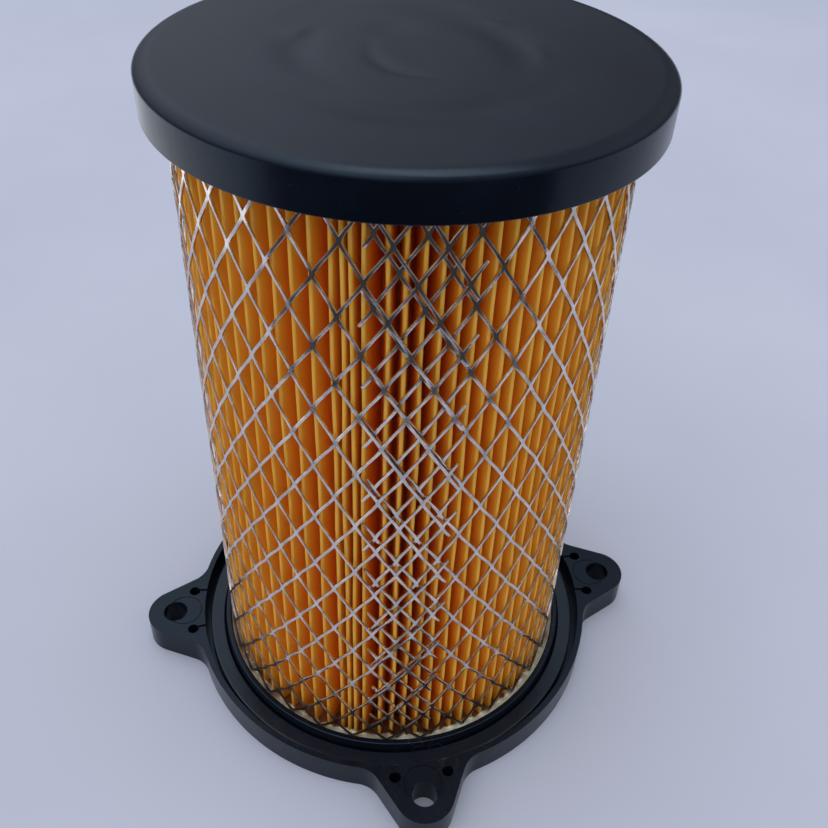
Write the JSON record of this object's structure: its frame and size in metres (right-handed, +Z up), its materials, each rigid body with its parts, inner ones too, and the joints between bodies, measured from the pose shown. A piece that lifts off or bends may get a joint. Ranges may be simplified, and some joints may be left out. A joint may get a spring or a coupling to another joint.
{
  "type": "motorcycle air filter",
  "caption": "Pleated paper cartridge in an expanded-metal sleeve, potted between a plain end cap and a round lugged base flange.",
  "frame": {"origin": "centre of the base flange's underside", "axes": "+Z up the element's axis towards the end cap; the fixing lugs point along +X, +Y, -X and -Y"},
  "size_m": [0.1384, 0.1384, 0.166],
  "materials": {
    "black_plastic": "satin moulded plastic",
    "black_rubber": "matt moulded rubber",
    "filter_paper": "resin-treated pleated paper",
    "screen_steel": "galvanised expanded steel",
    "potting": "cream potting compound"
  },
  "bodies": {
    "root": {"base_flange": "black_plastic", "flange_seal": "black_rubber", "bottom_potting": "potting", "pleated_element": "filter_paper", "outer_screen": "screen_steel", "inner_screen": "screen_steel", "top_potting": "potting", "top_cap": "black_plastic"}
  },
  "joints": []
}
